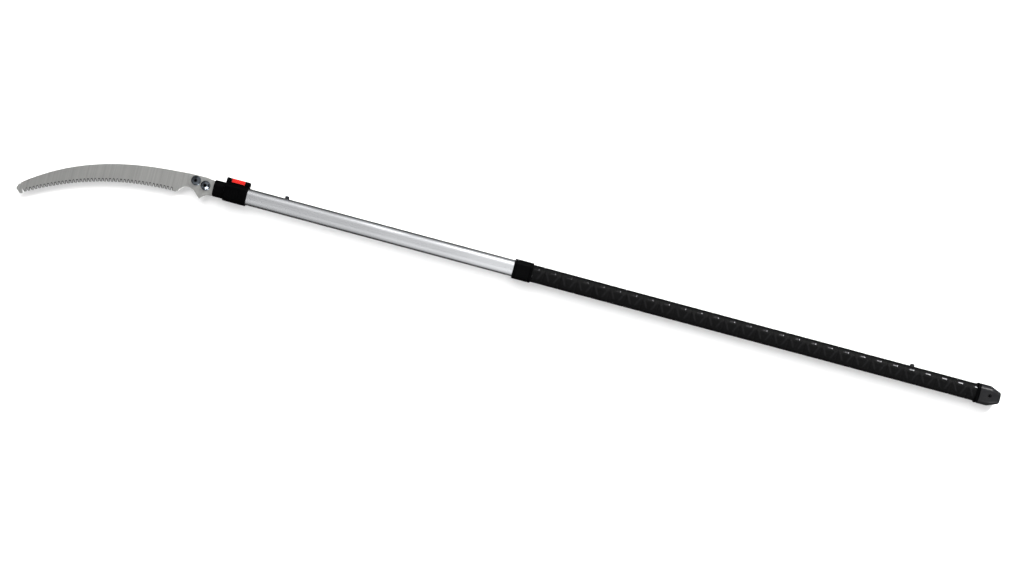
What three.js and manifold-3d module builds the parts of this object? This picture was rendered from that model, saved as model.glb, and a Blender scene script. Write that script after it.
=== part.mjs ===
// Telescoping pole saw, shown closed and lying on its side.
//
// Units are millimetres and +Z is up. X runs along the pole: the blade is at -X and the butt at +X.
// +Y is the side of the blade's back and of the lock lever, -Y the side of the teeth.
// The origin is under the middle of the grip's front ring, on the surface that the saw lies on.
// The outer section is fixed, and the inner section, which carries the saw head, slides to -X.

import * as THREE from 'three';
import { mergeVertices } from 'three/addons/utils/BufferGeometryUtils.js';
import Module from 'manifold-3d';

const wasm = await Module();
wasm.setup();

// ---------------------------------------------------------------- driving dimensions

const AXIS_HEIGHT = 20.5; // the pole's axis above the surface that the saw lies on
const TRAVEL = 1566; // how far the inner section slides out
const CLEARANCE = 0.3; // between neighbouring pieces

// tubes: oval sections, wide across the blade's plane, with flats on both sides
const TUBE_FLAT = 8;
const OUTER_TUBE = { width: 40.6, depth: 33, wall: 1.5, front: -720.4, rear: 1174 };
const INNER_TUBE = { width: 36.6, depth: 29, wall: 1.4, front: -771, rear: 1015 };
const ARC_STEPS = 12; // facets in each rounded end of an oval

// grip
const BODY_FLAT = 22; // flats that the ring, cap and housing lie on
const RING = { width: 48.9, halfLength: 23.4, frontRadius: 2.6, rearChamfer: 2.2 };
const SLEEVE = { width: 43, depth: 35.4 };
const CAP = { width: 49.2, front: 1134, shoulder: 1168, butt: 1194 };
const CAP_SCREW_X = 1166;

// snap buttons: both stand on the inner tube, one travel apart
const FRONT_BUTTON_X = -596;
const REAR_BUTTON_X = FRONT_BUTTON_X + TRAVEL;
const BUTTON = { radius: 5.4, flangeRadius: 6.6, flangeBottom: 14.2, top: 27 };
const BUTTON_HOLE_RADIUS = 5.8;
const SPRING = { thickness: 0.8, width: 9, armTop: 14, armBottom: -15.8, reach: 22 };

// lock
const HOUSING = { front: -746.7, rear: -689.8, width: 47.6, wallFront: 2.5 };
const BLOCK = { top: 34.4, halfDepth: 12, floor: 24.4, postRear: -735.8, recessRear: -701.2 };
const PIVOT = { x: -741, y: 29.2 };
const PIN_RADIUS = 2;
const CHEEK_RADIUS = 5.2; // rounding of the cheeks about the lever's pin
const CHANNEL_HALF_DEPTH = 8.5;
const CAM = { radius: 5, release: 0.8, turn: 95 }; // the cam falls by release over turn degrees
const LEVER = { top: 34.2, bottom: 24.7, rear: -701.7, halfDepth: 11.8 };
const SHOE = { front: -743.8, rear: -731.5, halfDepth: 6.1, top: 24.05 };
const HOUSING_SCREWS_X = { front: -709, rear: -697 };

// saw head
const FERRULE = { width: 40.8, depth: 34, front: -773.1, rear: -747.2, wallFront: 1.8 };
const BLADE_THICKNESS = 1.6;
const PLATE_THICKNESS = 2.5;
const STACK_GAP = 0.15; // between blade, plates, washers and heads
const TANG = { rear: -757.6, halfWidth: 14 };
const BOLTS = { front: { x: -819, y: 6 }, rear: { x: -794, y: 0 } };
const BOLT_RADIUS = 4;
const BOLT_HOLE_RADIUS = 4.3;
const WASHER = { radius: 12, thickness: 1.4 };
const RIVET = { x: -764.5, y: 5, radius: 2.4 };
const TOOTH_COUNT = 42;
const TOOTH_HEIGHT = 6.4;

// ---------------------------------------------------------------- materials

function finish(color, roughness, metalness) {
  return new THREE.MeshStandardMaterial({ color, roughness, metalness, flatShading: true });
}

const MATERIALS = {
  aluminium: finish(0xd2d3d5, 0.35, 1),
  bladeSteel: finish(0x9a9a98, 0.4, 1),
  plateSteel: finish(0xa9a9a8, 0.45, 1),
  chrome: finish(0xd8dade, 0.12, 1),
  springSteel: finish(0x8c8c8c, 0.4, 1),
  blackPlastic: finish(0x101011, 0.5, 0),
  capPlastic: finish(0x2c2c2d, 0.45, 0),
  rubber: finish(0x1b1b1b, 0.75, 0),
  redPlastic: finish(0xd8221c, 0.4, 0),
  bushPlastic: finish(0xd9d6cd, 0.6, 0),
};

// ---------------------------------------------------------------- solids

/** Points of an elliptical arc, both ends included, angles in degrees. */
function arc(x, y, radiusX, radiusY, from, to, steps) {
  return Array.from({ length: steps + 1 }, (_, i) => {
    const angle = THREE.MathUtils.degToRad(from + ((to - from) * i) / steps);
    return new THREE.Vector2(x + radiusX * Math.cos(angle), y + radiusY * Math.sin(angle));
  });
}

function points(...pairs) {
  return pairs.map(([x, y]) => new THREE.Vector2(x, y));
}

function rectangle(x0, y0, x1, y1) {
  return points([x0, y0], [x1, y0], [x1, y1], [x0, y1]);
}

/** An oval: flats above and below, joined by half ellipses. Its x is the saw's Y, its y the saw's Z. */
function oval(width, depth, flat = TUBE_FLAT) {
  const end = (width - flat) / 2;
  return [
    ...arc(flat / 2, 0, end, depth / 2, -90, 90, ARC_STEPS),
    ...arc(-flat / 2, 0, end, depth / 2, 90, 270, ARC_STEPS),
  ];
}

function prism(outline, from, to) {
  const settings = { depth: to - from, bevelEnabled: false };
  const geometry = new THREE.ExtrudeGeometry(new THREE.Shape(outline), settings);
  return geometry.translate(0, 0, from);
}

// turns a shape's x, y and depth into the saw's Y, Z and X
const ALONG_X = new THREE.Matrix4().makeBasis(
  new THREE.Vector3(0, 1, 0),
  new THREE.Vector3(0, 0, 1),
  new THREE.Vector3(1, 0, 0),
);

function prismAlongX(outline, from, to) {
  return prism(outline, from, to).applyMatrix4(ALONG_X);
}

/** A solid through a row of ovals, each { x, width, depth, flat }. */
function loft(stations) {
  const rings = stations.map(({ x, width, depth, flat }) =>
    oval(width, depth, flat).map((p) => new THREE.Vector3(x, p.x, p.y)),
  );
  const count = rings[0].length;
  const positions = rings.flat().flatMap((p) => p.toArray());
  const index = [];
  for (let ring = 0; ring < rings.length - 1; ring++) {
    for (let i = 0; i < count; i++) {
      const a = ring * count + i;
      const b = ring * count + ((i + 1) % count);
      index.push(a, b, b + count, a, b + count, a + count);
    }
  }
  const last = (rings.length - 1) * count;
  for (let i = 1; i < count - 1; i++) {
    index.push(0, i + 1, i);
    index.push(last, last + i, last + i + 1);
  }
  const geometry = new THREE.BufferGeometry();
  geometry.setAttribute('position', new THREE.Float32BufferAttribute(positions, 3));
  geometry.setIndex(index);
  return geometry;
}

/** Stations of a straight oval body whose two end edges are rounded by the given radii. */
function roundedStations(section, from, to, frontRadius, rearRadius, steps = 3) {
  const { width, depth, flat } = section;
  const station = (x, inset) => ({ x, width: width - 2 * inset, depth: depth - 2 * inset, flat });
  const quarter = (i) => (Math.PI / 2) * (i / steps);
  const stations = [];
  for (let i = 0; i <= steps; i++) {
    const angle = quarter(i);
    stations.push(station(from + frontRadius * (1 - Math.cos(angle)), frontRadius * (1 - Math.sin(angle))));
  }
  for (let i = steps; i >= 0; i--) {
    const angle = quarter(i);
    stations.push(station(to - rearRadius * (1 - Math.cos(angle)), rearRadius * (1 - Math.sin(angle))));
  }
  return stations;
}

/** A turned solid about Y from a profile of [radius, y] pairs that starts and ends on the axis. */
function turned(profile, sides = 20) {
  return new THREE.LatheGeometry(points(...profile), sides);
}

function rod(radius, from, to, sides = 16) {
  return turned([[0, from], [radius, from], [radius, to], [0, to]], sides);
}

function rodAlongZ(radius, from, to, x = 0, y = 0, sides = 16) {
  return rod(radius, from, to, sides).rotateX(Math.PI / 2).translate(x, y, 0);
}

function toSolid(geometry) {
  const bare = geometry.clone();
  bare.deleteAttribute('normal');
  bare.deleteAttribute('uv');
  const merged = mergeVertices(bare, 1e-4);
  const all = merged.index.array;
  const kept = [];
  for (let i = 0; i < all.length; i += 3) {
    const [a, b, c] = [all[i], all[i + 1], all[i + 2]];
    if (a !== b && b !== c && c !== a) kept.push(a, b, c);
  }
  const mesh = new wasm.Mesh({
    numProp: 3,
    vertProperties: merged.attributes.position.array,
    triVerts: new Uint32Array(kept),
  });
  return new wasm.Manifold(mesh);
}

function toGeometry(solid) {
  const mesh = solid.getMesh();
  const geometry = new THREE.BufferGeometry();
  geometry.setAttribute('position', new THREE.BufferAttribute(mesh.vertProperties, 3));
  geometry.setIndex(new THREE.BufferAttribute(mesh.triVerts, 1));
  return geometry;
}

function cut(body, ...tools) {
  const solid = tools.map(toSolid).reduce((left, tool) => left.subtract(tool), toSolid(body));
  return toGeometry(solid);
}

function join(...bodies) {
  return toGeometry(bodies.map(toSolid).reduce((sum, body) => sum.add(body)));
}

function intersect(a, b) {
  return toGeometry(toSolid(a).intersect(toSolid(b)));
}

function box(x0, x1, y0, y1, z0, z1) {
  return prism(rectangle(x0, y0, x1, y1), z0, z1);
}

/** A hole across the +Y wall of a tube. */
function crossHole(radius, x) {
  return rod(radius, 8, 30).translate(x, 0, 0);
}

// ---------------------------------------------------------------- scene graph

const saw = new THREE.Group();
const onAxis = new THREE.Group();
onAxis.position.z = AXIS_HEIGHT;
saw.add(onAxis);

function place(name, geometry, material, parent = onAxis) {
  const mesh = new THREE.Mesh(toGeometry(toSolid(geometry)), material);
  mesh.name = name;
  parent.add(mesh);
  return mesh;
}

// ---------------------------------------------------------------- outer section

function tubeBlank({ width, depth, wall, front, rear }) {
  const inside = prismAlongX(oval(width - 2 * wall, depth - 2 * wall), front - 1, rear + 1);
  return cut(prismAlongX(oval(width, depth), front, rear), inside);
}

// the bore of everything that slips over the outer tube
const OVER_TUBE = oval(OUTER_TUBE.width + 2 * CLEARANCE, OUTER_TUBE.depth + 2 * CLEARANCE);

function outerTube() {
  const capScrewHoles = rodAlongZ(2.1, -20, 20, CAP_SCREW_X);
  const screwHoles = Object.values(HOUSING_SCREWS_X).map((x) => rod(2, -25, -15).translate(x, 0, 0));
  return cut(
    tubeBlank(OUTER_TUBE),
    crossHole(BUTTON_HOLE_RADIUS, FRONT_BUTTON_X),
    crossHole(BUTTON_HOLE_RADIUS, REAR_BUTTON_X),
    capScrewHoles,
    ...screwHoles,
  );
}

function gripFrontRing() {
  const section = { width: RING.width, depth: 2 * AXIS_HEIGHT, flat: BODY_FLAT };
  const { halfLength, frontRadius, rearChamfer } = RING;
  const stations = roundedStations(section, -halfLength, halfLength, frontRadius, rearChamfer);
  return cut(loft(stations), prismAlongX(OVER_TUBE, -halfLength - 1, halfLength + 1));
}

function gripSleeve() {
  const from = RING.halfLength + CLEARANCE;
  const to = CAP.front - CLEARANCE;
  return cut(
    prismAlongX(oval(SLEEVE.width, SLEEVE.depth), from, to),
    prismAlongX(OVER_TUBE, from - 1, to + 1),
    crossHole(BUTTON_HOLE_RADIUS + 0.7, REAR_BUTTON_X),
  );
}

function endCap() {
  const section = { width: CAP.width, depth: 2 * AXIS_HEIGHT, flat: BODY_FLAT };
  const taper = [
    { x: CAP.butt - 2.5, width: 30, depth: 25.4, flat: 11 },
    { x: CAP.butt - 0.8, width: 28, depth: 23.4, flat: 11 },
    { x: CAP.butt, width: 25.6, depth: 21, flat: 11 },
  ];
  const front = { x: CAP.front, width: CAP.width - 2, depth: 2 * AXIS_HEIGHT - 2, flat: BODY_FLAT };
  const straight = [front, { ...section, x: CAP.front + 1 }, { ...section, x: CAP.shoulder }];
  const recesses = [1, -1].map((side) =>
    rodAlongZ(4.5, Math.min(18.2 * side, 22 * side), Math.max(18.2 * side, 22 * side), CAP_SCREW_X),
  );
  return cut(
    loft([...straight, ...taper]),
    prismAlongX(OVER_TUBE, CAP.front - 1, OUTER_TUBE.rear + CLEARANCE),
    rodAlongZ(2.1, -22, 22, CAP_SCREW_X),
    ...recesses,
  );
}

/** A pan-head screw that points along -Y, with its head's underside at y = 0. */
function panScrew(shaftRadius, headRadius, headHeight, length) {
  return turned([
    [0, -length],
    [shaftRadius, -length],
    [shaftRadius, 0],
    [headRadius, 0],
    [headRadius, headHeight * 0.5],
    [headRadius * 0.8, headHeight],
    [0, headHeight],
  ]);
}

function addOuterSection() {
  place('outer_tube', outerTube(), MATERIALS.aluminium);
  place('grip_front_ring', gripFrontRing(), MATERIALS.blackPlastic);
  place('grip_sleeve', gripSleeve(), MATERIALS.rubber);
  place('end_cap', endCap(), MATERIALS.capPlastic);
  for (const [name, side] of [['upper', 1], ['lower', -1]]) {
    const screw = place(`end_cap_screw_${name}`, panScrew(1.8, 3.8, 1.7, 5.5), MATERIALS.springSteel);
    screw.position.set(CAP_SCREW_X, 0, side * 18.45);
    screw.rotation.x = (side * Math.PI) / 2;
  }
}

// ---------------------------------------------------------------- lock

function lockHousing() {
  const section = { width: HOUSING.width, depth: 2 * AXIS_HEIGHT, flat: BODY_FLAT };
  const body = loft(roundedStations(section, HOUSING.front, HOUSING.rear, 1.6, 1.6, 2));
  const corner = 2;
  const blockOutline = [
    ...points([HOUSING.front, 10], [HOUSING.rear, 10]),
    ...arc(HOUSING.rear - corner, BLOCK.top - corner, corner, corner, 0, 90, 3),
    ...arc(HOUSING.front + corner, BLOCK.top - corner, corner, corner, 90, 180, 3),
  ];
  const block = prism(blockOutline, -BLOCK.halfDepth, BLOCK.halfDepth);
  const aboveTop = BLOCK.top + 2;
  const leverRecess = [
    ...points([BLOCK.postRear, BLOCK.floor], [BLOCK.recessRear, BLOCK.floor]),
    ...points([BLOCK.recessRear, aboveTop], [PIVOT.x, aboveTop]),
    ...arc(PIVOT.x, PIVOT.y, CHEEK_RADIUS, CHEEK_RADIUS, 90, 0, 6),
  ];
  const wallRear = HOUSING.front + HOUSING.wallFront;
  const channelFloor = PIVOT.y - CAM.radius - CLEARANCE;
  const depth = CHANNEL_HALF_DEPTH;
  const screwCuts = Object.values(HOUSING_SCREWS_X).flatMap((x) => [
    rod(2, -26, -15).translate(x, 0, 0),
    rod(3.8, -26, -22).translate(x, 0, 0),
  ]);
  return cut(
    join(body, block),
    prism(leverRecess, -BLOCK.halfDepth - 1, BLOCK.halfDepth + 1),
    box(HOUSING.front - 1, BLOCK.postRear + 1, channelFloor, aboveTop, -depth, depth),
    shoeWindow(),
    prismAlongX(oval(OUTER_TUBE.width + 0.5, OUTER_TUBE.depth + 0.5), wallRear, HOUSING.rear + 1),
    prismAlongX(oval(INNER_TUBE.width + 1, INNER_TUBE.depth + 1), HOUSING.front - 1, wallRear + 1),
    rodAlongZ(PIN_RADIUS + 0.2, -20, 20, PIVOT.x, PIVOT.y),
    ...screwCuts,
  );
}

function shoeWindow() {
  const { front, rear, halfDepth } = SHOE;
  const depth = halfDepth + CLEARANCE;
  return box(front - CLEARANCE, rear + CLEARANCE, 12, 26, -depth, depth);
}

/** The lever in its closed place: a wide head, and a nose between the cheeks whose cam loads the shoe. */
function lockLever() {
  const { x, y } = PIVOT;
  const quarterTurns = 12;
  const cam = Array.from({ length: quarterTurns + 1 }, (_, i) => {
    const turn = (CAM.turn * i) / quarterTurns;
    const radius = CAM.radius - (CAM.release * i) / quarterTurns;
    const angle = THREE.MathUtils.degToRad(-90 - turn);
    return new THREE.Vector2(x + radius * Math.cos(angle), y + radius * Math.sin(angle));
  });
  const low = CAM.radius - CAM.release;
  const neckRear = x + 6.4;
  const nose = [
    ...cam,
    ...arc(x, y, low, low, 160, 30, 8),
    ...points([neckRear, y + 2], [neckRear, LEVER.bottom], [x + 2, LEVER.bottom - CLEARANCE]),
  ];
  const radius = 1.6;
  const headFront = x + CHEEK_RADIUS + 0.4;
  const head = [
    ...points([headFront, LEVER.bottom], [LEVER.rear, LEVER.bottom]),
    ...arc(LEVER.rear - radius, LEVER.top - radius, radius, radius, 0, 90, 3),
    ...points([headFront, LEVER.top]),
  ];
  const noseHalfDepth = CHANNEL_HALF_DEPTH - CLEARANCE;
  return cut(
    join(
      prism(nose.reverse(), -noseHalfDepth, noseHalfDepth),
      prism(head, -LEVER.halfDepth, LEVER.halfDepth),
    ),
    rodAlongZ(PIN_RADIUS + 0.15, -20, 20, x, y),
  );
}

function clampShoe() {
  const { front, rear, halfDepth, top } = SHOE;
  const innerTubeSpace = oval(INNER_TUBE.width + 0.5, INNER_TUBE.depth + 0.5);
  return cut(
    box(front, rear, 15, top, -halfDepth, halfDepth),
    prismAlongX(innerTubeSpace, front - 1, rear + 1),
  );
}

function frontBush() {
  const front = HOUSING.front + HOUSING.wallFront + CLEARANCE;
  const rear = OUTER_TUBE.front - CLEARANCE;
  return cut(
    prismAlongX(oval(OUTER_TUBE.width, OUTER_TUBE.depth), front, rear),
    prismAlongX(oval(INNER_TUBE.width + 0.5, INNER_TUBE.depth + 0.5), front - 1, rear + 1),
    shoeWindow(),
  );
}

function addLock() {
  place('lock_housing', lockHousing(), MATERIALS.blackPlastic);
  place('front_bush', frontBush(), MATERIALS.bushPlastic);
  place('lock_lever', lockLever(), MATERIALS.redPlastic);
  const pinEnd = BLOCK.halfDepth - 0.1;
  place('lever_pin', rodAlongZ(PIN_RADIUS, -pinEnd, pinEnd), MATERIALS.springSteel);
  onAxis.getObjectByName('lever_pin').position.set(PIVOT.x, PIVOT.y, 0);
  place('clamp_shoe', clampShoe(), MATERIALS.bushPlastic);
  for (const [name, x] of Object.entries(HOUSING_SCREWS_X)) {
    const screw = place(`housing_screw_${name}`, panScrew(1.75, 3.4, 1.6, 2.8), MATERIALS.springSteel);
    screw.position.set(x, -22.2, 0);
    screw.rotation.x = Math.PI;
  }
}

// ---------------------------------------------------------------- inner section

function innerTube() {
  return cut(
    tubeBlank(INNER_TUBE),
    crossHole(BUTTON_HOLE_RADIUS, FRONT_BUTTON_X),
    crossHole(BUTTON_HOLE_RADIUS, REAR_BUTTON_X),
    ...rivetHoles(),
  );
}

/** A guide pressed into the tube's hidden end, with a flange as wide as the outer tube's bore. */
function innerTailBush() {
  const { width, depth, wall, rear } = INNER_TUBE;
  const inside = 2 * wall + 0.5;
  return cut(
    join(
      prismAlongX(oval(width - inside, depth - inside), rear - 14, rear + 1),
      prismAlongX(oval(width + 0.6, depth + 0.6), rear + CLEARANCE, rear + 6),
    ),
    prismAlongX(oval(width - inside - 5, depth - inside - 5, 10), rear - 15, rear + 7),
  );
}

function snapButton() {
  const { radius, flangeRadius, flangeBottom, top } = BUTTON;
  const dome = 2.2;
  return turned([
    [0, flangeBottom],
    [flangeRadius, flangeBottom],
    [flangeRadius, flangeBottom + 1],
    [radius, flangeBottom + 1],
    [radius, top - dome],
    [radius * 0.85, top - dome * 0.4],
    [radius * 0.5, top - 0.15],
    [0, top],
  ]);
}

/** A U-shaped leaf: one arm under the button, the other along the tube's far wall. */
function buttonSpring() {
  const { thickness, width, armTop, armBottom, reach } = SPRING;
  const middle = (armTop + armBottom) / 2;
  const outside = (armTop - armBottom) / 2;
  const inside = outside - thickness;
  const outline = [
    ...points([-7, armTop - thickness]),
    ...arc(reach, middle, inside, inside, 90, -90, 12),
    ...points([-5, armBottom + thickness], [-5, armBottom]),
    ...arc(reach, middle, outside, outside, -90, 90, 12),
    ...points([-7, armTop]),
  ];
  return prism(outline, -width / 2, width / 2);
}

function addInnerSection() {
  place('inner_tube', innerTube(), MATERIALS.aluminium);
  place('inner_tail_bush', innerTailBush(), MATERIALS.bushPlastic);
  for (const [name, x] of [['front', FRONT_BUTTON_X], ['rear', REAR_BUTTON_X]]) {
    const station = new THREE.Group();
    station.position.x = x;
    onAxis.add(station);
    place(`${name}_snap_button`, snapButton(), MATERIALS.chrome, station);
    place(`${name}_button_spring`, buttonSpring(), MATERIALS.springSteel, station);
  }
}

// ---------------------------------------------------------------- saw head

function rivetHoles() {
  return [1, -1].map((side) => rodAlongZ(RIVET.radius + 0.25, -24, 24, RIVET.x, side * RIVET.y));
}

function boltHoles() {
  return Object.values(BOLTS).map(({ x, y }) => rodAlongZ(BOLT_HOLE_RADIUS, -10, 10, x, y));
}

const TOOTH_TIPS = new THREE.CubicBezierCurve(
  ...points([-1216, -129], [-1090, -58], [-987, -35], [-864, -32]),
);
const BLADE_BACK = new THREE.CubicBezierCurve(
  ...points([-834.8, 19.8], [-920, 11.8], [-1081, 9.6], [-1227.5, -107]),
);

// One tooth as [share of the pitch, share of the height]: a narrow gullet, a steep flank, an oblique
// top and a point that leans to the handle, because the saw cuts when it is pulled.
const TOOTH = [[0, 0], [0.08, 0], [0.24, 0.8], [0.6, 1], [0.92, 1]];

/** The toothed edge, from the beak to the heel. */
function toothedEdge() {
  const edge = [];
  for (let i = 0; i < TOOTH_COUNT; i++) {
    for (const [along, height] of TOOTH) {
      const u = (i + along) / TOOTH_COUNT;
      const tangent = TOOTH_TIPS.getTangentAt(u);
      const tip = TOOTH_TIPS.getPointAt(u);
      const inward = new THREE.Vector2(-tangent.y, tangent.x).multiplyScalar(TOOTH_HEIGHT * (1 - height));
      edge.push(tip.add(inward));
    }
  }
  return edge;
}

function blade() {
  const half = BLADE_THICKNESS / 2;
  const outline = [
    // beak at the tip
    ...points([-1228, -110.8], [-1232.3, -111], [-1236.4, -124.6], [-1224, -134], [-1217.5, -132.5]),
    ...toothedEdge(),
    // heel, then the narrow tang between the plates
    ...points([-860.5, -32.5]),
    ...arc(-834, -44, 24, 30, 150, 96, 5),
    ...points([-800, -13]),
    ...arc(-792, -2.5, 10.5, 10.5, -90, 0, 4),
    ...arc(-792, 9.5, 10.5, 10.5, 0, 90, 4),
    ...BLADE_BACK.getPoints(24),
  ];
  return cut(prism(outline, -half, half), ...boltHoles());
}

/** Both plates are the same stamping: a round nose, a claw on the teeth's side, and a tang. */
function bracketPlate() {
  const shoulder = FERRULE.front - 0.5;
  const outline = [
    ...points([TANG.rear, -TANG.halfWidth], [TANG.rear, TANG.halfWidth], [shoulder, TANG.halfWidth]),
    ...points([shoulder, 17.5], [-792, 19.4]),
    ...arc(-819, 1.5, 18, 18, 90, 265, 12),
    ...arc(-801.5, -32, 1.8, 1.8, 225, 350, 3),
    ...arc(-781, -33.5, 14.2, 13, 143, 92, 5),
    ...points([shoulder, -20], [shoulder, -TANG.halfWidth]),
  ];
  return cut(prism(outline, 0, PLATE_THICKNESS), ...boltHoles(), ...rivetHoles());
}

function tangSpacer() {
  const half = BLADE_THICKNESS / 2;
  const body = box(-779, TANG.rear, -TANG.halfWidth, TANG.halfWidth, -half, half);
  return cut(body, ...rivetHoles());
}

function headFerrule() {
  const section = { width: FERRULE.width, depth: FERRULE.depth, flat: TUBE_FLAT };
  const wallRear = FERRULE.front + FERRULE.wallFront;
  const slotHeight = TANG.halfWidth + CLEARANCE;
  return cut(
    loft(roundedStations(section, FERRULE.front, FERRULE.rear, 1.8, 0.6, 2)),
    prismAlongX(oval(INNER_TUBE.width + 0.6, INNER_TUBE.depth + 0.6), wallRear, FERRULE.rear + 1),
    box(FERRULE.front - 1, wallRear + 1, -slotHeight, slotHeight, -3.8, 3.8),
  );
}

function headPlug() {
  const { width, depth, wall, front } = INNER_TUBE;
  const inside = 2 * wall + 0.6;
  const slotHeight = TANG.halfWidth + CLEARANCE;
  return cut(
    prismAlongX(oval(width - inside, depth - inside), front + CLEARANCE, front + 33),
    box(front - 1, TANG.rear + CLEARANCE, -slotHeight, slotHeight, -3.8, 3.8),
    ...rivetHoles(),
  );
}

/** Along Z, from its underside at z = 0: a washer-like flange and a domed hexagon, with its shaft below. */
function boltHead(shaftLength) {
  const upright = (geometry) => geometry.rotateX(Math.PI / 2);
  const flange = upright(
    turned([
      [0, -shaftLength],
      [BOLT_RADIUS, -shaftLength],
      [BOLT_RADIUS, 0],
      [11.9, 0],
      [11.9, 1.2],
      [10.9, 2],
      [0, 2],
    ]),
  );
  const hexagon = upright(rod(10.9, 1.5, 10, 6));
  const dome = upright(turned([[0, 1], [10.9, 1], [10.6, 3.4], [8.8, 6.6], [6.2, 8.6], [4, 9.3], [0, 9.3]]));
  return join(flange, intersect(hexagon, dome));
}

function washer() {
  const { radius, thickness } = WASHER;
  return cut(rodAlongZ(radius, 0, thickness, 0, 0, 24), rodAlongZ(BOLT_HOLE_RADIUS, -1, thickness + 1));
}

function nut(height) {
  const chamfered = turned([[0, 0], [8, 0], [8.7, 0.8], [8.7, height - 0.8], [8, height], [0, height]]);
  const body = intersect(rod(8.7, 0, height, 6), chamfered).rotateX(Math.PI / 2);
  return cut(body, rodAlongZ(BOLT_HOLE_RADIUS, -1, height + 1));
}

function addSawHead() {
  place('blade', blade(), MATERIALS.bladeSteel);
  place('tang_spacer', tangSpacer(), MATERIALS.plateSteel);
  const plateFace = BLADE_THICKNESS / 2 + STACK_GAP;
  const near = place('bracket_plate_near', bracketPlate(), MATERIALS.plateSteel);
  near.position.z = plateFace;
  const far = place('bracket_plate_far', bracketPlate(), MATERIALS.plateSteel);
  far.position.z = -plateFace - PLATE_THICKNESS;
  place('head_ferrule', headFerrule(), MATERIALS.blackPlastic);
  place('head_plug', headPlug(), MATERIALS.aluminium);
  for (const [name, side] of [['upper', 1], ['lower', -1]]) {
    const end = INNER_TUBE.depth / 2 - 0.6;
    const rivet = place(`head_rivet_${name}`, rodAlongZ(RIVET.radius, -end, end), MATERIALS.aluminium);
    rivet.position.set(RIVET.x, side * RIVET.y, 0);
  }

  const washerFace = plateFace + PLATE_THICKNESS + STACK_GAP;
  const headFace = washerFace + WASHER.thickness + STACK_GAP;
  const nutHeight = 7.2;
  for (const [name, { x, y }] of Object.entries(BOLTS)) {
    const station = new THREE.Group();
    station.position.set(x, y, 0);
    onAxis.add(station);
    const shaftLength = 2 * headFace + nutHeight + 1.2;
    place(`blade_bolt_${name}`, boltHead(shaftLength), MATERIALS.chrome, station).position.z = headFace;
    place(`bolt_washer_${name}`, washer(), MATERIALS.chrome, station).position.z = washerFace;
    const nutWasher = place(`nut_washer_${name}`, washer(), MATERIALS.chrome, station);
    nutWasher.position.z = -washerFace - WASHER.thickness;
    const hexNut = place(`blade_nut_${name}`, nut(nutHeight), MATERIALS.chrome, station);
    hexNut.position.z = -headFace - nutHeight;
  }
}

addOuterSection();
addLock();
addInnerSection();
addSawHead();

export default saw;
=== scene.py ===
"""A telescoping pole saw, closed and lying on its side, dressed around its CAD frame.

Shapes are made in pole millimetres: x along the pole (the blade is at -x), y across it (+y is the
side of the blade's back and of the red lever) and z above the pole's axis. add_piece() carries them
into the frame's metres.
"""

import math
from bisect import bisect
from types import SimpleNamespace

import bmesh
import bpy
from mathutils import Matrix, Vector
from mathutils.geometry import tessellate_polygon


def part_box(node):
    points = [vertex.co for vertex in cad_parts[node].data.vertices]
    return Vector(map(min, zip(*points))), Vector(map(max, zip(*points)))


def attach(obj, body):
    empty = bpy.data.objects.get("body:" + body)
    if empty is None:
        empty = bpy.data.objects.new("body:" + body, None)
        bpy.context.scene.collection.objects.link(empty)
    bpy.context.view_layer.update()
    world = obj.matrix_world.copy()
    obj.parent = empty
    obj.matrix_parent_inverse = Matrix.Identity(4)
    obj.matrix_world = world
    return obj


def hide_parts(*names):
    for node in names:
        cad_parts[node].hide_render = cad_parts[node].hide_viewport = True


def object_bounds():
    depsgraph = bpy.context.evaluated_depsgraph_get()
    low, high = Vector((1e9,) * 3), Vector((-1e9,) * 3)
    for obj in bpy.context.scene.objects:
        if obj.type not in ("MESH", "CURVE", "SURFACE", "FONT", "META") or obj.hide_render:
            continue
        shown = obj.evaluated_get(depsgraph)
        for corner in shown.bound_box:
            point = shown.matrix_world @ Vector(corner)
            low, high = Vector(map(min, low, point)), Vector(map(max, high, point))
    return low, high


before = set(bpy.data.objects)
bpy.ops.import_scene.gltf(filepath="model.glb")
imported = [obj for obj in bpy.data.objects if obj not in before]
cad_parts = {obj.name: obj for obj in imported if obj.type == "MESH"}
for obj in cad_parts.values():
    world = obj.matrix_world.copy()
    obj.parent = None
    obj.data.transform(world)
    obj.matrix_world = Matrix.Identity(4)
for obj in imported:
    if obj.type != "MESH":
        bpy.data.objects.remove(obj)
cad_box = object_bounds()
scene = bpy.context.scene

# ---------------------------------------------------------------- sizes

MM = 0.001
AXIS_HEIGHT = sum(corner.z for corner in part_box("outer_tube")) / 2 / MM
POLE_FRAME = Matrix.Translation((0, 0, AXIS_HEIGHT * MM)) @ Matrix.Scale(MM, 4)


def extent(node):
    """A CAD node's box in pole millimetres, with its width (y), depth (z) and centre."""
    low, high = (POLE_FRAME.inverted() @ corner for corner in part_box(node))
    return SimpleNamespace(
        x0=low.x, x1=high.x, y0=low.y, y1=high.y, z0=low.z, z1=high.z,
        width=high.y - low.y, depth=high.z - low.z, length=high.x - low.x, centre=(low + high) / 2,
    )


OUTER = extent("outer_tube")
INNER = extent("inner_tube")
RING = extent("grip_front_ring")
SLEEVE = extent("grip_sleeve")
CAP = extent("end_cap")
HOUSING = extent("lock_housing")
LEVER = extent("lock_lever")
FERRULE = extent("head_ferrule")
BLADE = extent("blade")

TUBE_FLAT = 8  # flats of the tubes, sleeve and ferrule
BODY_FLAT = 22  # flats of the ring, cap and housing
CLEARANCE = 0.3
OUTER_WALL = 1.5
INNER_WALL = 1.4
FERRULE_WALL = 1.8
ARC_STEPS = 28

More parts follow.
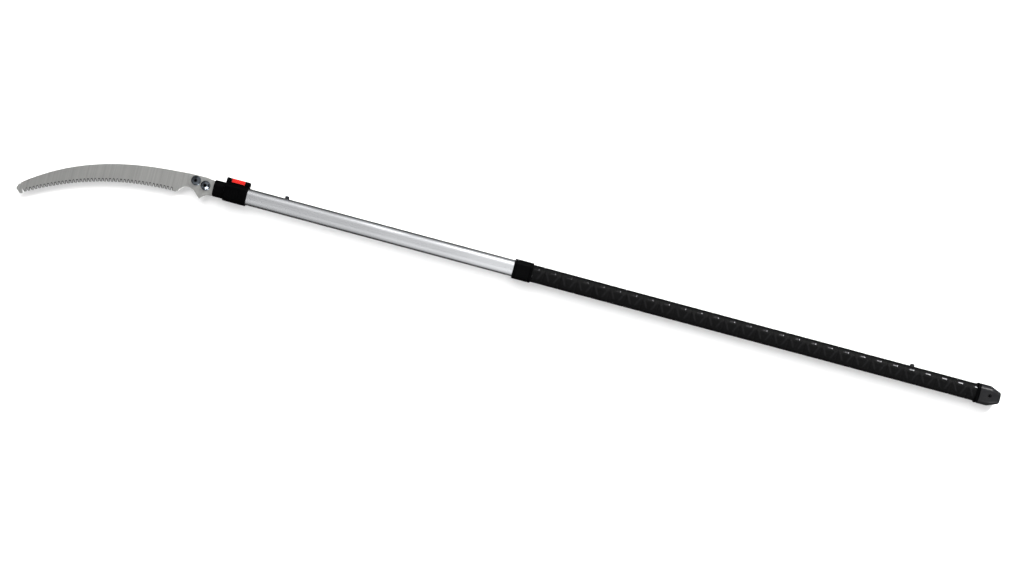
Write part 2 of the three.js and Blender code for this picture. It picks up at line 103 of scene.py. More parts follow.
BUTTONS_X = [extent(f"{end}_snap_button").centre.x for end in ("front", "rear")]
BUTTON_HOLE = 5.8
CAP_SCREW_X = extent("end_cap_screw_upper").centre.x
HOUSING_SCREWS_X = [extent(f"housing_screw_{end}").centre.x for end in ("front", "rear")]
BOLTS = {end: extent(f"blade_bolt_{end}").centre for end in ("front", "rear")}

RIVETS = [extent(f"head_rivet_{end}").centre for end in ("upper", "lower")]
PIN = extent("lever_pin").centre
CAM_RADIUS = 5
CHEEK_RADIUS = 5.2
LEVER_RED_FROM = -733.4  # the lever is black in front of this
CHANNEL_HALF_DEPTH = 8.5
CAP_SCREW_SEAT = 18.45  # above and below the pole's axis
BLOCK = SimpleNamespace(top=HOUSING.y1, half_depth=12, floor=24.4, post_rear=-735.8, recess_rear=-701.2)

# ---------------------------------------------------------------- outlines


def arc(x, y, radius_x, radius_y, start, end, steps):
    """Points of an elliptical arc, both ends included, angles in degrees."""
    angles = [math.radians(start + (end - start) * i / steps) for i in range(steps + 1)]
    return [(x + radius_x * math.cos(a), y + radius_y * math.sin(a)) for a in angles]


def oval(width, depth, flat):
    """Points (y, z) of an oval: flats above and below, joined by half ellipses."""
    side = arc(flat / 2, 0, (width - flat) / 2, depth / 2, -90, 90, ARC_STEPS)
    return side + [(-y, -z) for y, z in side]


def bezier(p0, p1, p2, p3):
    """A cubic Bezier curve as a function: share of its length -> (point, direction)."""
    def at(t):
        r = 1 - t
        return Vector([r**3 * a + 3 * r * r * t * b + 3 * r * t * t * c + t**3 * d
                       for a, b, c, d in zip(p0, p1, p2, p3)])

    fine = [at(i / 400) for i in range(401)]
    reach = [0.0]
    for a, b in zip(fine, fine[1:]):
        reach.append(reach[-1] + (b - a).length)

    def curve(share):
        target = reach[-1] * share
        k = min(max(bisect(reach, target) - 1, 0), len(fine) - 2)
        step = fine[k + 1] - fine[k]
        return fine[k] + step * ((target - reach[k]) / step.length), step.normalized()

    return curve


def along(curve, steps):
    """Evenly spaced points of a curve, both ends included."""
    return [tuple(curve(i / steps)[0]) for i in range(steps + 1)]


def smooth(t):
    """0 below 0, 1 above 1, and an easy curve between."""
    t = min(max(t, 0), 1)
    return t * t * (3 - 2 * t)


# ---------------------------------------------------------------- solids, as (points, faces)


def cap(ring, first):
    """Faces that fill a flat ring of points, numbered from first: triangles where it may be concave."""
    if len(ring) < 5:
        return [tuple(range(first, first + len(ring)))]
    return [tuple(first + i for i in three) for three in tessellate_polygon([[Vector(p) for p in ring]])]


def skin(rings, around=False):
    """A closed surface through rings of points: capped at both ends, or joined end to start."""
    count = len(rings[0])
    points = [p for ring in rings for p in ring]
    faces = []
    for k in range(len(rings) if around else len(rings) - 1):
        a = k * count
        b = (k + 1) % len(rings) * count
        faces += [(a + i, a + (i + 1) % count, b + (i + 1) % count, b + i) for i in range(count)]
    if not around:
        faces += cap(rings[0], 0) + cap(rings[-1], len(points) - count)
    return points, faces


def section(x, width, depth, flat):
    return [(x, y, z) for y, z in oval(width, depth, flat)]


def sleeve_like(outer, inner):
    """A hollow oval body. outer and inner are rows of (x, width, depth, flat) from front to rear."""
    return skin([section(*s) for s in outer] + [section(*s) for s in reversed(inner)], around=True)


def oval_bar(x0, x1, width, depth, flat=TUBE_FLAT):
    return skin([section(x0, width, depth, flat), section(x1, width, depth, flat)])


def prism(outline, z0, z1):
    return skin([[(x, y, z) for x, y in outline] for z in (z0, z1)])


def box(x0, x1, y0, y1, z0, z1):
    return prism([(x0, y0), (x1, y0), (x1, y1), (x0, y1)], z0, z1)


def circle(radius, z, sides=96):
    turns = [2 * math.pi * i / sides for i in range(sides)]
    return [(radius * math.cos(a), radius * math.sin(a), z) for a in turns]


def lathe(profile, sides=48, around=False):
    """Turned about Z from (radius, z) pairs; around=True joins the last pair to the first."""
    return skin([circle(radius, z, sides) for radius, z in profile], around)


def rod(radius, start, end, sides=32):
    return lathe([(radius, start), (radius, end)], sides)


def placed(solid, x=0, y=0, z=0, turn=Matrix.Identity(4)):
    """The same solid, turned about the origin and then moved."""
    points, faces = solid
    carry = Matrix.Translation((x, y, z)) @ turn
    return [tuple(carry @ Vector(p)) for p in points], faces


ALONG_Y = Matrix.Rotation(-math.pi / 2, 4, "X")  # turns +Z to +Y
AGAINST_Y = Matrix.Rotation(math.pi / 2, 4, "X")
UPSIDE_DOWN = Matrix.Rotation(math.pi, 4, "X")

# ---------------------------------------------------------------- meshes


def blank(solid):
    """A bare object in pole millimetres, with its faces pointing out."""
    points, faces = solid
    mesh = bpy.data.meshes.new("blank")
    mesh.from_pydata(points, [], faces)
    work = bmesh.new()
    work.from_mesh(mesh)
    bmesh.ops.recalc_face_normals(work, faces=work.faces)
    work.to_mesh(mesh)
    work.free()
    made = bpy.data.objects.new("blank", mesh)
    scene.collection.objects.link(made)
    return made


def bake_modifiers(piece):
    old = piece.data
    evaluated = piece.evaluated_get(bpy.context.evaluated_depsgraph_get())
    piece.data = bpy.data.meshes.new_from_object(evaluated)
    piece.modifiers.clear()
    bpy.data.meshes.remove(old)


def combine(piece, operation, *tools):
    """Cuts, joins or intersects the piece with other solids, one after another."""
    for solid in tools:
        tool = blank(solid)
        step = piece.modifiers.new("combine", "BOOLEAN")
        step.operation = operation
        step.solver = "EXACT"
        step.object = tool
        bake_modifiers(piece)
        bpy.data.meshes.remove(tool.data)
    return piece


def cut(piece, *tools):
    return combine(piece, "DIFFERENCE", *tools)


def join(piece, *tools):
    return combine(piece, "UNION", *tools)


def merge_flats(piece):
    """Joins flat neighbours into one face, so that a bevel has room to run."""
    work = bmesh.new()
    work.from_mesh(piece.data)
    bmesh.ops.remove_doubles(work, verts=work.verts, dist=0.01)
    bmesh.ops.dissolve_limit(work, angle_limit=math.radians(0.5), verts=work.verts, edges=work.edges)
    work.to_mesh(piece.data)
    work.free()


def round_edges(piece, width, steps=3, angle=32):
    merge_flats(piece)
    step = piece.modifiers.new("round", "BEVEL")
    step.width = width
    step.segments = steps
    step.limit_method = "ANGLE"
    step.angle_limit = math.radians(angle)
    step.use_clamp_overlap = False
    bake_modifiers(piece)
    return piece


def add_piece(name, shape, material, body, node, sharp=35):
    """Finishes a shape, a solid or a blank, as a named piece that stands for a CAD node."""
    piece = blank(shape) if isinstance(shape, tuple) else shape
    mesh = piece.data
    work = bmesh.new()
    work.from_mesh(mesh)
    bmesh.ops.remove_doubles(work, verts=work.verts, dist=0.004)
    bmesh.ops.dissolve_degenerate(work, edges=work.edges, dist=0.004)
    bmesh.ops.transform(work, matrix=POLE_FRAME, verts=work.verts)
    for vertex in work.verts:  # bevels may stand out a hair
        vertex.co.z = min(max(vertex.co.z, cad_box[0][2]), cad_box[1][2])
    bmesh.ops.recalc_face_normals(work, faces=work.faces)
    work.to_mesh(mesh)
    work.free()
    mesh.shade_smooth()
    mesh.set_sharp_from_angle(angle=math.radians(sharp))
    mesh.materials.clear()
    mesh.materials.append(MATERIALS[material])
    flats_first = piece.modifiers.new("flats_first", "WEIGHTED_NORMAL")
    flats_first.keep_sharp = True
    piece.name = name
    mesh.name = name
    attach(piece, body)
    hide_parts(node)
    return piece


# ---------------------------------------------------------------- materials


def add_node(tree, kind, inputs=None, **settings):
    """A node with its settings, and with each input linked to a socket or set to a value."""
    made = tree.nodes.new(kind)
    for key, value in settings.items():
        setattr(made, key, value)
    for key, value in (inputs or {}).items():
        if isinstance(value, bpy.types.NodeSocket):
            tree.links.new(value, made.inputs[key])
        else:
            made.inputs[key].default_value = value
    return made


class Shader:
    """A material under construction: short calls that add linked nodes."""

    def __init__(self, name, color, roughness, metallic=0.0, **constants):
        self.material = bpy.data.materials.new(name)
        self.material.use_nodes = True
        self.tree = self.material.node_tree
        self.surface = self.tree.nodes["Principled BSDF"]
        self.color = (*color, 1)
        self.surface.inputs["Base Color"].default_value = self.color
        self.surface.inputs["Roughness"].default_value = roughness
        self.surface.inputs["Metallic"].default_value = metallic
        for key, value in constants.items():
            self.surface.inputs[key.replace("_", " ")].default_value = value
        self.position = self.node("ShaderNodeTexCoord").outputs["Object"]

    def node(self, kind, inputs=None, **settings):
        return add_node(self.tree, kind, inputs, **settings)

    def noise(self, scale, detail=3.0, stretch=(1, 1, 1), turn=0.0):
        """Noise of about scale features per metre, stretched along an axis by a factor below 1."""
        where = self.node("ShaderNodeMapping", {"Vector": self.position, "Rotation": (0, 0, turn),
                                                "Scale": tuple(scale * s for s in stretch)})
        return self.node("ShaderNodeTexNoise", {"Vector": where.outputs["Vector"], "Scale": 1.0,
                                                "Detail": detail}).outputs["Fac"]

    def to_range(self, value, low, high, source=(0.3, 0.7)):
        return self.node("ShaderNodeMapRange", {"Value": value, "From Min": source[0], "From Max": source[1],
                                                "To Min": low, "To Max": high}).outputs["Result"]

    def tint(self, value, low, high):
        """The colour multiplied by low to high as the value goes from 0.3 to 0.7."""
        amount = self.to_range(value, low, high)
        grey = self.node("ShaderNodeCombineColor", dict.fromkeys(("Red", "Green", "Blue"), amount)).outputs[0]
        self.mix_color(1.0, grey, blend_type="MULTIPLY")

    def mix_color(self, amount, color, **settings):
        """The colour, taken towards another one by an amount from 0 to 1."""
        mixed = self.node("ShaderNodeMix", {0: amount, 6: self.current_color(), 7: color},
                          data_type="RGBA", **settings)
        self.link(mixed.outputs[2], "Base Color")

    def current_color(self):
        links = self.surface.inputs["Base Color"].links
        return links[0].from_socket if links else self.color

    def link(self, value, socket):
        self.tree.links.new(value, self.surface.inputs[socket])

    def vary_roughness(self, value, low, high):
        self.link(self.to_range(value, low, high), "Roughness")

    def bump(self, *layers):
        """Bump from (value, height in metres) layers."""
        normal = None
        for value, height in layers:
            inputs = {"Height": value, "Distance": height, "Strength": 1.0}
            if normal is not None:
                inputs["Normal"] = normal
            normal = self.node("ShaderNodeBump", inputs).outputs["Normal"]
        self.link(normal, "Normal")


def wear_along_edges(shader, lightness):
    """Lighter colour where the surface is pointed, from the mesh's own curvature."""
    pointed = shader.node("ShaderNodeNewGeometry").outputs["Pointiness"]
    shader.mix_color(shader.to_range(pointed, 0.0, 1.0, source=(0.53, 0.6)), (*[lightness] * 3, 1))


def tube_aluminium():
    """Satin anodised aluminium: fine lines along the extrusion and a faint cloudy tone."""
    s = Shader("tube_aluminium", (0.70, 0.71, 0.73), 0.3, metallic=1.0)
    lines = s.noise(1500, 2, stretch=(0.004, 1, 1))
    clouds = s.noise(14, 4, stretch=(0.3, 1, 1))
    s.tint(clouds, 0.95, 1.04)
    s.tint(lines, 0.96, 1.03)
    s.vary_roughness(s.noise(60, 4, stretch=(0.1, 1, 1)), 0.18, 0.27)
    s.bump((lines, 0.000012), (clouds, 0.00004))
    return s.material


def blade_steel():
    """Blade steel ground across its length: close streaks, uneven tone."""
    s = Shader("blade_steel", (0.40, 0.40, 0.39), 0.34, metallic=1.0)
    across = math.radians(-14)
    fine = s.noise(900, 2, stretch=(1, 0.01, 1), turn=across)
    streaks = s.noise(230, 1, stretch=(1, 0.015, 1), turn=across)
    s.tint(fine, 0.95, 1.05)
    s.tint(streaks, 0.92, 1.08)
    s.vary_roughness(fine, 0.3, 0.42)
    s.bump((fine, 0.000006), (streaks, 0.000006))
    return s.material


def bracket_steel():
    """Stamped sheet with a satin, slightly mottled plating."""
    s = Shader("bracket_steel", (0.4, 0.4, 0.39), 0.36, metallic=1.0)
    mottle = s.noise(160, 4)
    s.tint(mottle, 0.9, 1.08)
    s.vary_roughness(s.noise(420, 3, stretch=(0.1, 1, 1)), 0.28, 0.44)
    s.bump((mottle, 0.00004))
    return s.material


def fastener_chrome():
    """Dark, polished nickel plate, a little blue."""
    s = Shader("fastener_chrome", (0.11, 0.123, 0.14), 0.1, metallic=1.0)
    haze = s.noise(300, 3)
    s.tint(haze, 0.95, 1.03)
    s.vary_roughness(haze, 0.05, 0.12)
    s.bump((s.noise(120, 2), 0.00002))
    return s.material


def mottled(name, color, scale, tone, roughness, dent=0.00001, metallic=1.0, **constants):
    """Metal with a fine uneven skin; tone and roughness are each a (low, high) range."""
    s = Shader(name, color, sum(roughness) / 2, metallic, **constants)
    mottle = s.noise(scale, 3)
    s.tint(mottle, *tone)
    s.vary_roughness(mottle, *roughness)
    s.bump((mottle, dent))
    return s.material


def moulded(name, color, roughness, worn, **constants):
    """Injection-moulded plastic: a fine grain, a slow flow tone and edges rubbed to a worn lightness."""
    s = Shader(name, color, roughness, **constants)
    fine = s.noise(1800, 2)
    flow = s.noise(45, 3)
    s.tint(flow, 0.85, 1.15)
    wear_along_edges(s, worn)
    s.vary_roughness(flow, roughness - 0.05, roughness + 0.06)
    s.bump((fine, 0.00003), (flow, 0.00003))
    return s.material


def lever_red():
    """The lever's red, with a black hinge end as far as the rear of the cheeks."""
    s = Shader("lever_red", (0.42, 0.012, 0.009), 0.3, Specular_IOR_Level=0.22)
    flow = s.noise(45, 3)
    s.tint(flow, 0.85, 1.15)
    along = s.node("ShaderNodeSeparateXYZ", {0: s.position}).outputs["X"]
    hinge_end = s.node("ShaderNodeMath", {0: along, 1: LEVER_RED_FROM * MM}, operation="LESS_THAN").outputs[0]
    s.mix_color(hinge_end, (0.002, 0.002, 0.002, 1))
    s.vary_roughness(flow, 0.26, 0.38)
    s.bump((s.noise(1800, 2), 0.00001), (flow, 0.00002))
    return s.material


def grip_rubber():
    """Black rubber: a fine-grained skin with a dusty bloom, smooth pads, and ribs a shade lighter.

    The mesh's "pad" and "rib" attributes say where the pattern's tops are.
    """
    s = Shader("grip_rubber", (0.0012, 0.0012, 0.0013), 0.6, Specular_IOR_Level=0.05)
    grain = s.noise(1400, 3)
    bloom = s.noise(30, 4)
    smear = s.noise(220, 3)
    s.tint(bloom, 0.7, 1.4)
    wear_along_edges(s, 0.004)
    pad, rib = [s.node("ShaderNodeAttribute", attribute_name=name).outputs["Fac"]
                for name in ("pad", "rib")]
    s.mix_color(rib, (0.004, 0.004, 0.0043, 1))
    skin_roughness = s.to_range(bloom, 0.54, 0.66)
    pad_roughness = s.to_range(smear, 0.1, 0.16)
    roughness = s.node("ShaderNodeMix", {0: pad, 2: skin_roughness, 3: pad_roughness})
    s.link(roughness.outputs[0], "Roughness")
    s.mix_color(pad, (0.018, 0.018, 0.0185, 1))
    s.link(pad, "Metallic")
    skin = s.node("ShaderNodeMath", {0: 1.0, 1: pad}, operation="SUBTRACT").outputs[0]
    skin_grain = s.node("ShaderNodeMath", {0: grain, 1: skin}, operation="MULTIPLY").outputs[0]
    s.bump((skin_grain, 0.00004), (smear, 0.00001))
    return s.material


MATERIALS = {
    "tube_aluminium": tube_aluminium(),
    "blade_steel": blade_steel(),
    # The teeth's bevels and gullets, painted near-black as painted shade in the narrow gullets.
    "gullet_painted_shade": mottled("gullet_painted_shade", (0.015, 0.015, 0.016), 400, (0.8, 1.2), (0.34, 0.5), 0.000008),
    "bracket_steel": bracket_steel(),
    "fastener_chrome": fastener_chrome(),
    # Blackened steel for the pin, screws and buttons; the same material is painted inside the bolts' sockets
    # as painted shade.
    "black_oxide": mottled("black_oxide", (0.003, 0.003, 0.0033), 600, (0.7, 1.3), (0.34, 0.5),
                           metallic=0.8, Specular_IOR_Level=0.05),
    "button_black": mottled("button_black", (0.035, 0.036, 0.038), 500, (0.8, 1.25), (0.12, 0.22), 0.000008,
                            metallic=0.9),
    "hidden_steel": mottled("hidden_steel", (0.42, 0.42, 0.43), 500, (0.85, 1.1), (0.26, 0.42)),
    "black_plastic": moulded("black_plastic", (0.0006, 0.0006, 0.0007), 0.42, worn=0.003,
                             Specular_IOR_Level=0.012),
    "cap_plastic": moulded("cap_plastic", (0.006, 0.006, 0.0066), 0.36, worn=0.015, Specular_IOR_Level=0.12),
    "grip_rubber": grip_rubber(),
    "lever_red": lever_red(),
    "bush_plastic": moulded("bush_plastic", (0.62, 0.61, 0.57), 0.5, worn=0.7),
}


def paint(piece, material, chosen):
    """Gives the chosen faces a second material; chosen takes a face's corners, in pole mm, and the face."""
    piece.data.materials.append(MATERIALS[material])
    to_pole = POLE_FRAME.inverted()
    for face in piece.data.polygons:
        if chosen([to_pole @ piece.data.vertices[i].co for i in face.vertices], face):
            face.material_index = 1


# ---------------------------------------------------------------- tubes


def tube(width, depth, wall, x0, x1, stops):
    """An oval tube with eased mouths; stops are extra stations, so that a cut stays local."""
    ease = 0.3

    def rows(at_mouths, between):
        stations = [(x0, at_mouths), (x1, at_mouths)]
        stations += [(x, between) for x in (x0 + ease, *stops, x1 - ease)]
        return [(x, width - 2 * inset, depth - 2 * inset, TUBE_FLAT) for x, inset in sorted(stations)]

    return sleeve_like(rows(ease, 0), rows(wall - ease, wall))


def button_hole(x, radius=BUTTON_HOLE):
    return placed(rod(radius, 8, 30, 40), x=x, turn=ALONG_Y)


def drawn_tube(node, part, wall, body, *extra_stops):
    """An anodised tube with its two button holes."""
    near = 9
    stops = [x + side * near for x in BUTTONS_X for side in (-1, 1)]
    shape = blank(tube(part.width, part.depth, wall, part.x0, part.x1, [*stops, *extra_stops]))
    cut(shape, *[button_hole(x) for x in BUTTONS_X])
    add_piece(f"{node}_anodised", shape, "tube_aluminium", body, node)


def snap_button(end, x):
    """A polished pin with a domed end and a flange inside the tube."""
    node = f"{end}_snap_button"
    part = extent(node)
    radius, flange_radius, dome_height = 5.4, 6.6, 2.2
    flange = [(flange_radius - 0.3, part.y0), (flange_radius, part.y0 + 0.3), (flange_radius, part.y0 + 0.8),
              (flange_radius - 0.3, part.y0 + 1), (radius, part.y0 + 1)]
    dome = arc(0, part.y1 - dome_height, radius, dome_height, 0, 80, 8)
    shape = placed(lathe(flange + dome + [(0.4, part.y1)]), x=x, turn=ALONG_Y)
    piece = add_piece(f"{end}_button_polished", shape, "black_oxide", f"{end}_button", node)
    piece.data.materials[0] = MATERIALS["button_black"]


# ---------------------------------------------------------------- grip

PATTERN_PITCH = 40.7
PATTERN_PHASE = 846  # the middle of one repeat
PAD = SimpleNamespace(across=12.6, half_length=6.4, half_width=2.5, height=0.5)
RIB = SimpleNamespace(top=6.5, bottom=-10.5, spread_top=14.5, spread_bottom=6, half_width=2.4, height=0.45)
GROOVE_DEPTH = 0.45
GROOVE_HALF_WIDTH = 1.6
PATTERN_EDGE = 0.7  # how softly the pattern's edges rise
SHUT = 0.25  # closes the assembly gap to the ring and the cap
BORE_WIDTH = OUTER.width + 2 * CLEARANCE
BORE_DEPTH = OUTER.depth + 2 * CLEARANCE


def along_repeat(x):
    """How far x is from the middle of its repeat of the pattern."""
    return (x - PATTERN_PHASE + PATTERN_PITCH / 2) % PATTERN_PITCH - PATTERN_PITCH / 2


def inside_rib(along, y):
    """How far a point is inside the nearer of a repeat's two ribs, below 0 outside."""
    share = (RIB.top - y) / (RIB.top - RIB.bottom)
    middle = RIB.spread_top + (RIB.spread_bottom - RIB.spread_top) * share
    return min(RIB.half_width - abs(abs(along) - middle), y - RIB.bottom, RIB.top - y)


def pattern_tops(along, y, z):
    """How much a point is on top of a pad and of a rib, each 0 to 1.

    Each repeat has a smooth pad on both shoulders and two ribs that lean inward across the flat; along
    is measured from the repeat's middle, y and z are on the sleeve's section.
    """
    if z < 0:
        y = -y
    across = abs(abs(y) - PAD.across)
    inside_pad = min(PAD.half_length - abs(along), PAD.half_width - across)
    return smooth(inside_pad / PATTERN_EDGE + 0.5), smooth(inside_rib(along, y) / PATTERN_EDGE + 0.5)


def grip_relief(along, y, z):
    """Height of the moulded pattern, with a groove between neighbouring repeats."""
    on_pad, on_rib = pattern_tops(along, y, z)
    across = abs(abs(y) - PAD.across)
    # The crown is taken off the middle, so that a pad's top is flat.
    crown = PAD.half_width**2 / (SLEEVE.width - TUBE_FLAT)
    pad_height = PAD.height - crown * max(0, 1 - (across / PAD.half_width) ** 2)
    from_groove = abs(abs(along) - PATTERN_PITCH / 2)
    in_groove = smooth((GROOVE_HALF_WIDTH - from_groove) / PATTERN_EDGE)
    return max(pad_height * on_pad, RIB.height * on_rib) - GROOVE_DEPTH * in_groove


def grip_sleeve():
    """The rubber sleeve, its pattern pressed into a fine grid that runs once round and end to end."""
    step = 1.2
    around = 44
    ease = 0.5
    base_width = SLEEVE.width - 0.3
    base_depth = SLEEVE.depth - 0.3
    plain_zone, clear_zone = 8.5, 11  # round the button's hole, without a pattern and where it starts
    side = (base_width - TUBE_FLAT) / 2
    shoulder = arc(TUBE_FLAT / 2, 0, side, base_depth / 2, -90, 90, around)
    flat = [(TUBE_FLAT * (0.5 - i / 12), base_depth / 2) for i in range(1, 12)]
    half = shoulder + flat
    ring = half + [(-y, -z) for y, z in half]

    def relief_ring(x, along, strength):
        points = []
        for y, z in ring:
            height = grip_relief(along, y, z) * strength
            away = math.hypot(x - BUTTONS_X[1], z) if y > 0 else clear_zone
            height *= smooth((away - plain_zone) / (clear_zone - plain_zone))
            normal = Vector((max(abs(y) - TUBE_FLAT / 2, 0) / side**2 * math.copysign(1, y),
                             z / (base_depth / 2) ** 2)).normalized()
            points.append((x, y + normal.x * height, z + normal.y * height))
        return points

    total = round(SLEEVE.length / step)
    x0, x1 = SLEEVE.x0 - SHUT, SLEEVE.x1 + SHUT
    rings = [[(x0, y * 0.98, z * 0.98) for y, z in ring]]
    for k in range(1, total):
        x = SLEEVE.x0 + SLEEVE.length * k / total
        from_end = min(x - SLEEVE.x0, SLEEVE.x1 - x)
        rings.append(relief_ring(x, along_repeat(x), smooth(from_end / ease)))
    rings.append([(x1, y * 0.98, z * 0.98) for y, z in ring])

    def bore(x):
        shrink_y, shrink_z = BORE_WIDTH / base_width, BORE_DEPTH / base_depth
        return [(x, y * shrink_y, z * shrink_z) for y, z in ring]

    inner = [bore(x) for x in (x1, BUTTONS_X[1] + clear_zone, BUTTONS_X[1] - clear_zone, x0)]
    shape = blank(skin(rings + inner, around=True))
    cut(shape, button_hole(BUTTONS_X[1], BUTTON_HOLE + 0.7))
    piece = add_piece("grip_sleeve_moulded", shape, "grip_rubber", "outer_section", "grip_sleeve", sharp=50)
    mark_pattern(piece)


def mark_pattern(piece):
    """Stores where the pads and ribs are, for the rubber's finish."""
    mesh = piece.data
    pad, rib = [mesh.attributes.new(name, "FLOAT", "POINT") for name in ("pad", "rib")]
    to_pole = POLE_FRAME.inverted()
    for vertex in mesh.vertices:
        at = to_pole @ vertex.co
        near_button = at.y > 0 and math.hypot(at.x - BUTTONS_X[1], at.z) < BUTTON_HOLE + 5
        in_bore = (at.z / (BORE_DEPTH / 2 + 0.3)) ** 2 + (at.y / (BORE_WIDTH / 2 + 0.3)) ** 2 < 1
        if not near_button and not in_bore:
            on_pad, on_rib = pattern_tops(along_repeat(at.x), at.y, at.z)
            pad.data[vertex.index].value = on_pad if at.y * at.z > 0 else 0  # the others are matt
            rib.data[vertex.index].value = on_rib


def rounded(x0, x1, width, depth, flat, front, rear, steps=5):
    """Stations of an oval body with rounded ends of radii front and rear."""
    def end(x, radius, inward):
        rows = []
        for i in range(steps + 1):
            a = math.pi / 2 * i / steps
            inset = radius * (1 - math.sin(a))
            rows.append((x + inward * radius * (1 - math.cos(a)), width - 2 * inset, depth - 2 * inset, flat))
        return rows

    return end(x0, front, 1) + end(x1, rear, -1)[::-1]


def groove(rows, x, depth, half_width, width, height, flat):
    """The same stations with a shallow groove round the body at x."""
    profile = [(-1, 0), (-0.5, depth), (0.5, depth), (1, 0)]
    return sorted(rows + [(x + half_width * share, width - 2 * inset, height - 2 * inset, flat)
                          for share, inset in profile])


def bore_rows(x0, x1, ease=0.4):
    """A bore whose two mouths are eased."""
    stations = ((x0, ease), (x0 + ease, 0), (x1 - ease, 0), (x1, ease))
    return [(x, BORE_WIDTH + 2 * wider, BORE_DEPTH + 2 * wider, TUBE_FLAT) for x, wider in stations]


def grip_front_ring():
    rows = rounded(RING.x0, RING.x1, RING.width, RING.depth, BODY_FLAT, 2.6, 2.2)
    for x in (RING.x0 + 6.5, RING.x1 - 6.5):
        rows = groove(rows, x, 0.5, 0.9, RING.width, RING.depth, BODY_FLAT)
    add_piece("grip_ring_moulded", sleeve_like(rows, bore_rows(RING.x0, RING.x1)),
              "black_plastic", "outer_section", "grip_front_ring")


def end_cap():
    """The butt cap: a grooved collar, a shoulder and a tapered end, closed behind the tube."""
    def inset_row(x, inset):
        return x, CAP.width - 2 * inset, CAP.depth - 2 * inset, BODY_FLAT

    taper_start, taper_end = 1167, CAP.x1 - 2.5
    groove_x, groove_depth = CAP.x0 + 6, 1.2
    rows = [inset_row(CAP.x0, 1), inset_row(CAP.x0 + 0.3, 0.45), inset_row(CAP.x0 + 1, 0),
            inset_row(groove_x - 1.8, 0), inset_row(groove_x - 1.1, groove_depth),
            inset_row(groove_x + 1.1, groove_depth), inset_row(groove_x + 1.8, 0), inset_row(taper_start, 0)]
    end_width, end_depth, end_flat = 30, 25.4, 11
    steps = 10
    for i in range(1, steps + 1):
        t = i / steps
        swell = 0.35 * math.sin(math.pi * t)
        rows.append((taper_start + (taper_end - taper_start) * t,
                     CAP.width + (end_width - CAP.width) * t + swell,
                     CAP.depth + (end_depth - CAP.depth) * t + swell,
                     BODY_FLAT + (end_flat - BODY_FLAT) * t))
    rows += [(CAP.x1 - before_end, end_width - inset, end_depth - inset, end_flat)
             for before_end, inset in ((1.4, 1), (0.6, 2.4), (0, 4.4))]
    shape = blank(skin([section(*row) for row in rows]))
    recess_floor, reach = 18.2, 30
    recesses = [rod(4.5, recess_floor, reach, 40), rod(4.5, -reach, -recess_floor, 40)]
    cut(shape, oval_bar(CAP.x0 - 1, OUTER.x1 + CLEARANCE, BORE_WIDTH, BORE_DEPTH),
        *[placed(hole, x=CAP_SCREW_X) for hole in (*recesses, rod(2.1, -reach, reach))])
    round_edges(shape, 0.35, steps=2, angle=50)
    piece = add_piece("end_cap_moulded", shape, "cap_plastic", "outer_section", "end_cap")
    # The screw recesses are painted near-black black plastic as painted shade; the collar in front of the
    # groove, the groove included, also takes the black plastic.
    paint(piece, "black_plastic", lambda corners, face: (
        all(math.hypot(at.x - CAP_SCREW_X, at.y) < 4.6 for at in corners)
        or max(at.x for at in corners) < groove_x + 1.3))


def cross_screw(head_radius, head_height, shaft_radius, length):
    """A pan-head screw with a cross recess, its head's underside at z = 0 and its shaft along -z."""
    dome = [(head_radius * math.cos(a), head_height * (0.45 + 0.55 * math.sin(a)))
            for a in [math.radians(15 * i) for i in range(6)]]
    shape = blank(lathe([(shaft_radius * 0.7, -length), (shaft_radius, -length + 0.5), (shaft_radius, -0.2),
                         (shaft_radius, 0), (head_radius, 0), *dome], 40))
    arm, half = head_radius * 0.55, 0.35
    top = head_height + 1
    bottom = head_height * 0.35
    return cut(shape, box(-arm, arm, -half, half, bottom, top), box(-half, half, -arm, arm, bottom, top))


def add_screw(name, node, material, where, turn, size):
    shape = cross_screw(*size)
    shape.data.transform(Matrix.Translation(where) @ turn)
    add_piece(name, shape, material, "outer_section", node)


def cap_screws():
    for end, side, turn in (("upper", 1, Matrix.Identity(4)), ("lower", -1, UPSIDE_DOWN)):
        add_screw(f"cap_screw_{end}_cross", f"end_cap_screw_{end}", "black_oxide",
                  (CAP_SCREW_X, 0, side * CAP_SCREW_SEAT), turn, (3.8, 1.7, 1.8, 5.5))


# ---------------------------------------------------------------- lock


